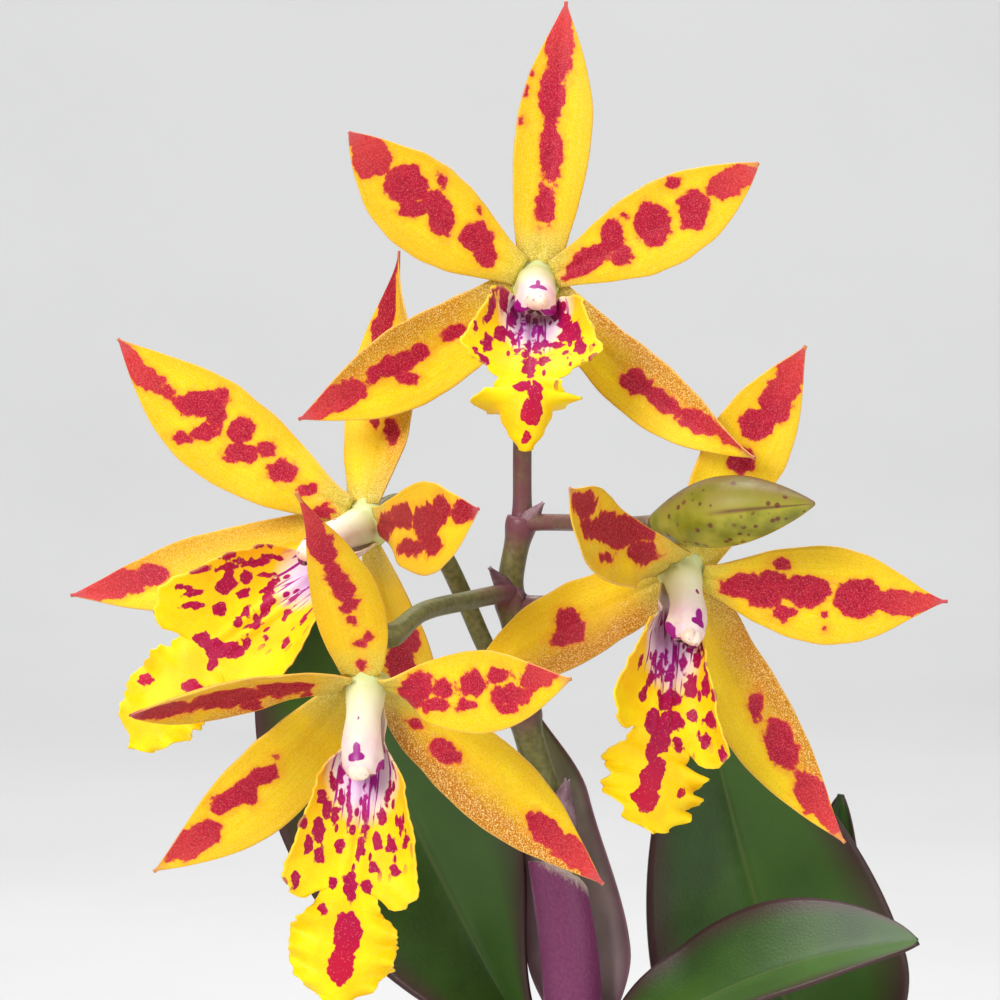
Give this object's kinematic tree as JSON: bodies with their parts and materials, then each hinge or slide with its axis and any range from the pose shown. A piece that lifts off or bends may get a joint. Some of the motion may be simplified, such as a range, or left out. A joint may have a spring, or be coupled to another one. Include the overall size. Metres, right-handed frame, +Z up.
{
  "type": "potted orchid",
  "caption": "Potted epicatanthe orchid: blotched star-shaped blooms with a frilled lip and a bud on one spray, strap leaves, canes and roots in bark, in a plain clay pot.",
  "frame": {"origin": "middle of the pot's base, on the surface it stands on", "axes": "+Z up, -Y the way the blooms look, +X to the right seen from the front"},
  "size_m": [0.1823, 0.1961, 0.4241],
  "materials": {
    "tepal": "waxy yellow tepal with crimson blotches and a fine sparkle",
    "lip": "waxy yellow lip, lilac throat, magenta lines and spots",
    "column": "smooth waxy cream column",
    "stalk": "smooth olive stalk, purple at its joints",
    "bud": "waxy yellow-green bud with a purple-brown blush",
    "leaf": "glossy dark green leaf with a purple margin",
    "sheath": "papery purple sheath with a pale rim",
    "young_leaf": "smooth young leaf, green above and pale grey below",
    "cane": "ribbed green cane with dry papery sheaths",
    "rhizome": "brown rhizome with pale velvety roots",
    "bark": "rough dry bark chips",
    "clay": "matt unglazed terracotta"
  },
  "bodies": {
    "root": {"top_dorsal_sepal": "tepal", "top_left_sepal": "tepal", "top_right_sepal": "tepal", "top_left_petal": "tepal", "top_right_petal": "tepal", "top_lip": "lip", "top_column": "column", "left_dorsal_sepal": "tepal", "left_left_sepal": "tepal", "left_right_sepal": "tepal", "left_left_petal": "tepal", "left_right_petal": "tepal", "left_lip": "lip", "left_column": "column", "right_dorsal_sepal": "tepal", "right_left_sepal": "tepal", "right_right_sepal": "tepal", "right_left_petal": "tepal", "right_right_petal": "tepal", "right_lip": "lip", "right_column": "column", "front_dorsal_sepal": "tepal", "front_left_sepal": "tepal", "front_right_sepal": "tepal", "front_left_petal": "tepal", "front_right_petal": "tepal", "front_lip": "lip", "front_column": "column", "flower_spray": "stalk", "bud": "bud", "leaf_left": "leaf", "leaf_low_right": "leaf", "leaf_right": "leaf", "leaf_right_back": "leaf", "leaf_far_left": "leaf", "leaf_back": "leaf", "spathe": "sheath", "young_leaf": "young_leaf", "cane_1": "cane", "cane_2": "cane", "cane_3": "cane", "cane_4": "cane", "cane_5": "cane", "rhizome": "rhizome", "bark_bed": "bark", "pot": "clay"}
  },
  "joints": []
}
